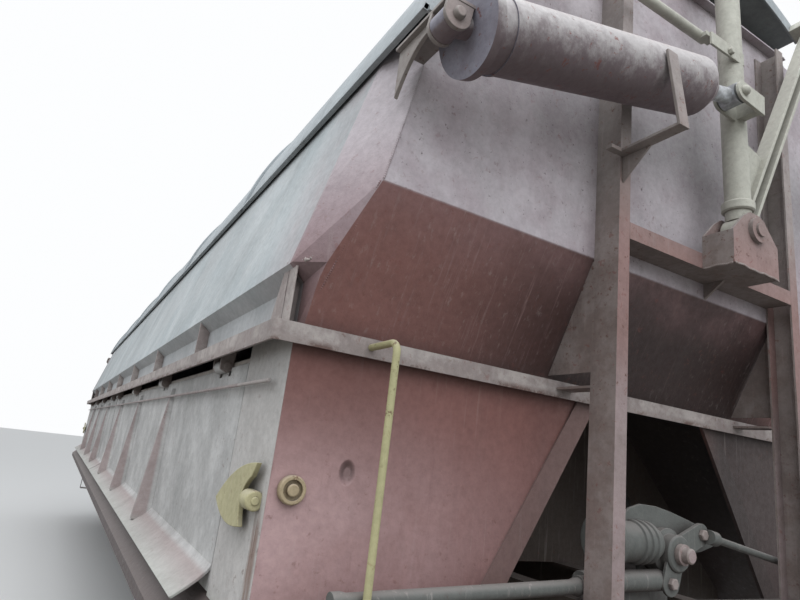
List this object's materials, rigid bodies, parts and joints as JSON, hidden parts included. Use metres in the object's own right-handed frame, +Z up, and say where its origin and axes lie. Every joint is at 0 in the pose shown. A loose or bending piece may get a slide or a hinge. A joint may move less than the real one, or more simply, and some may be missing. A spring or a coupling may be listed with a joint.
{
  "type": "self-discharging hopper wagon",
  "caption": "Bogie hopper wagon with leaning sides over a saddle, side discharge flaps and an arched roof swung by arms and a cylinder on each end wall.",
  "frame": {"origin": "middle of the wagon's length and width, at the lowest point of the wheel flanges", "axes": "+X along the wagon towards the end in the picture, +Y to the right of someone who faces that end from outside, looking along -X, +Z up"},
  "size_m": [12.54, 3.1598, 3.9959],
  "materials": {
    "side_paint": "weathered light blue-grey paint",
    "end_paint": "faded grey paint with rust",
    "lower_paint": "rusty oxide red paint",
    "frame_paint": "faded grey paint with rust",
    "post_paint": "faded grey paint with rust",
    "arm_paint": "light grey paint, chipped",
    "cylinder_paint": "light grey paint, dirty",
    "rail_paint": "faded yellow paint",
    "roof_paint": "weathered light grey paint",
    "underframe_paint": "dark brown dirt and rust",
    "wheel_steel": "rusty brown, bright tread",
    "rod_steel": "satin steel"
  },
  "bodies": {
    "wagon_body": {"waist_frame": "frame_paint", "side_sheet_right": "side_paint", "side_sheet_left": "side_paint", "end_sheet_front": "end_paint", "end_sheet_rear": "end_paint", "side_gussets": "frame_paint", "fixed_roof_side": "roof_paint", "saddle": "lower_paint", "end_panels": "lower_paint", "corner_strips": "lower_paint", "flap_hinges": "post_paint", "end_posts": "post_paint", "post_webs": "post_paint", "ledges": "post_paint", "pivot_brackets": "post_paint", "cylinder_brackets": "post_paint", "cylinder_hooks": "post_paint", "underframe": "underframe_paint", "bolsters": "underframe_paint", "cross_bearers": "underframe_paint", "platforms": "underframe_paint", "handrails": "rail_paint", "buffers": "underframe_paint", "draw_hooks": "underframe_paint"},
    "roof": {"roof_shell": "roof_paint", "roof_arm_front": "arm_paint", "roof_arm_rear": "arm_paint"},
    "flap_right_front": {"flap_right_front": "lower_paint"},
    "flap_right_rear": {"flap_right_rear": "lower_paint"},
    "flap_left_front": {"flap_left_front": "lower_paint"},
    "flap_left_rear": {"flap_left_rear": "lower_paint"},
    "cylinder_front": {"cylinder_front": "cylinder_paint"},
    "cylinder_rod_front": {"cylinder_rod_front": "rod_steel"},
    "cylinder_rear": {"cylinder_rear": "cylinder_paint"},
    "cylinder_rod_rear": {"cylinder_rod_rear": "rod_steel"},
    "bogie_front": {"bogie_frame_front": "underframe_paint", "axle_boxes_front": "underframe_paint", "bogie_springs_front": "underframe_paint"},
    "wheelset_front_outer": {"wheelset_front_outer": "wheel_steel"},
    "wheelset_front_inner": {"wheelset_front_inner": "wheel_steel"},
    "bogie_rear": {"bogie_frame_rear": "underframe_paint", "axle_boxes_rear": "underframe_paint", "bogie_springs_rear": "underframe_paint"},
    "wheelset_rear_outer": {"wheelset_rear_outer": "wheel_steel"},
    "wheelset_rear_inner": {"wheelset_rear_inner": "wheel_steel"}
  },
  "joints": [
    {"name": "flap_right_front_hinge", "type": "hinge", "parent": "wagon_body", "child": "flap_right_front", "pos_m": [0, 1.48, 1.888], "axis": [1, 0, 0], "range_deg": [0, 45]},
    {"name": "flap_right_rear_hinge", "type": "hinge", "parent": "wagon_body", "child": "flap_right_rear", "pos_m": [0, 1.48, 1.888], "axis": [1, 0, 0], "range_deg": [0, 45]},
    {"name": "flap_left_front_hinge", "type": "hinge", "parent": "wagon_body", "child": "flap_left_front", "pos_m": [0, -1.48, 1.888], "axis": [-1, 0, 0], "range_deg": [0, 45]},
    {"name": "flap_left_rear_hinge", "type": "hinge", "parent": "wagon_body", "child": "flap_left_rear", "pos_m": [0, -1.48, 1.888], "axis": [-1, 0, 0], "range_deg": [0, 45]},
    {"name": "roof_swing", "type": "hinge", "parent": "wagon_body", "child": "roof", "pos_m": [0, 0.04, 2.575], "axis": [-1, 0, 0], "range_deg": [0, 40]},
    {"name": "cylinder_front_swing", "type": "hinge", "parent": "wagon_body", "child": "cylinder_front", "pos_m": [5.52, -1.338, 2.724], "axis": [1, 0, 0], "range_deg": [-6, 1]},
    {"name": "cylinder_front_stroke", "type": "slide", "parent": "cylinder_front", "child": "cylinder_rod_front", "axis": [0, 0.9637, 0.2669], "range_m": [0, 0.36]},
    {"name": "cylinder_rear_swing", "type": "hinge", "parent": "wagon_body", "child": "cylinder_rear", "pos_m": [-5.52, -1.338, 2.724], "axis": [1, 0, 0], "range_deg": [-6, 1]},
    {"name": "cylinder_rear_stroke", "type": "slide", "parent": "cylinder_rear", "child": "cylinder_rod_rear", "axis": [0, 0.9637, 0.2669], "range_m": [0, 0.36]},
    {"name": "bogie_front_turn", "type": "hinge", "parent": "wagon_body", "child": "bogie_front", "pos_m": [3.75, 0, 0.9], "axis": [0, 0, 1], "range_deg": [-4, 4]},
    {"name": "wheelset_front_outer_roll", "type": "hinge", "parent": "bogie_front", "child": "wheelset_front_outer", "pos_m": [4.65, 0, 0.487], "axis": [0, 1, 0], "continuous": true},
    {"name": "wheelset_front_inner_roll", "type": "hinge", "parent": "bogie_front", "child": "wheelset_front_inner", "pos_m": [2.85, 0, 0.487], "axis": [0, 1, 0], "continuous": true},
    {"name": "bogie_rear_turn", "type": "hinge", "parent": "wagon_body", "child": "bogie_rear", "pos_m": [-3.75, 0, 0.9], "axis": [0, 0, 1], "range_deg": [-4, 4]},
    {"name": "wheelset_rear_outer_roll", "type": "hinge", "parent": "bogie_rear", "child": "wheelset_rear_outer", "pos_m": [-4.65, 0, 0.487], "axis": [0, 1, 0], "continuous": true},
    {"name": "wheelset_rear_inner_roll", "type": "hinge", "parent": "bogie_rear", "child": "wheelset_rear_inner", "pos_m": [-2.85, 0, 0.487], "axis": [0, 1, 0], "continuous": true}
  ],
  "couplings": [
    {"joint": "cylinder_front_swing", "follows": "roof_swing", "ratio": -0.10607},
    {"joint": "cylinder_front_stroke", "follows": "roof_swing", "m_per_rad": 0.47706},
    {"joint": "cylinder_rear_swing", "follows": "roof_swing", "ratio": -0.10607},
    {"joint": "cylinder_rear_stroke", "follows": "roof_swing", "m_per_rad": 0.47706}
  ]
}
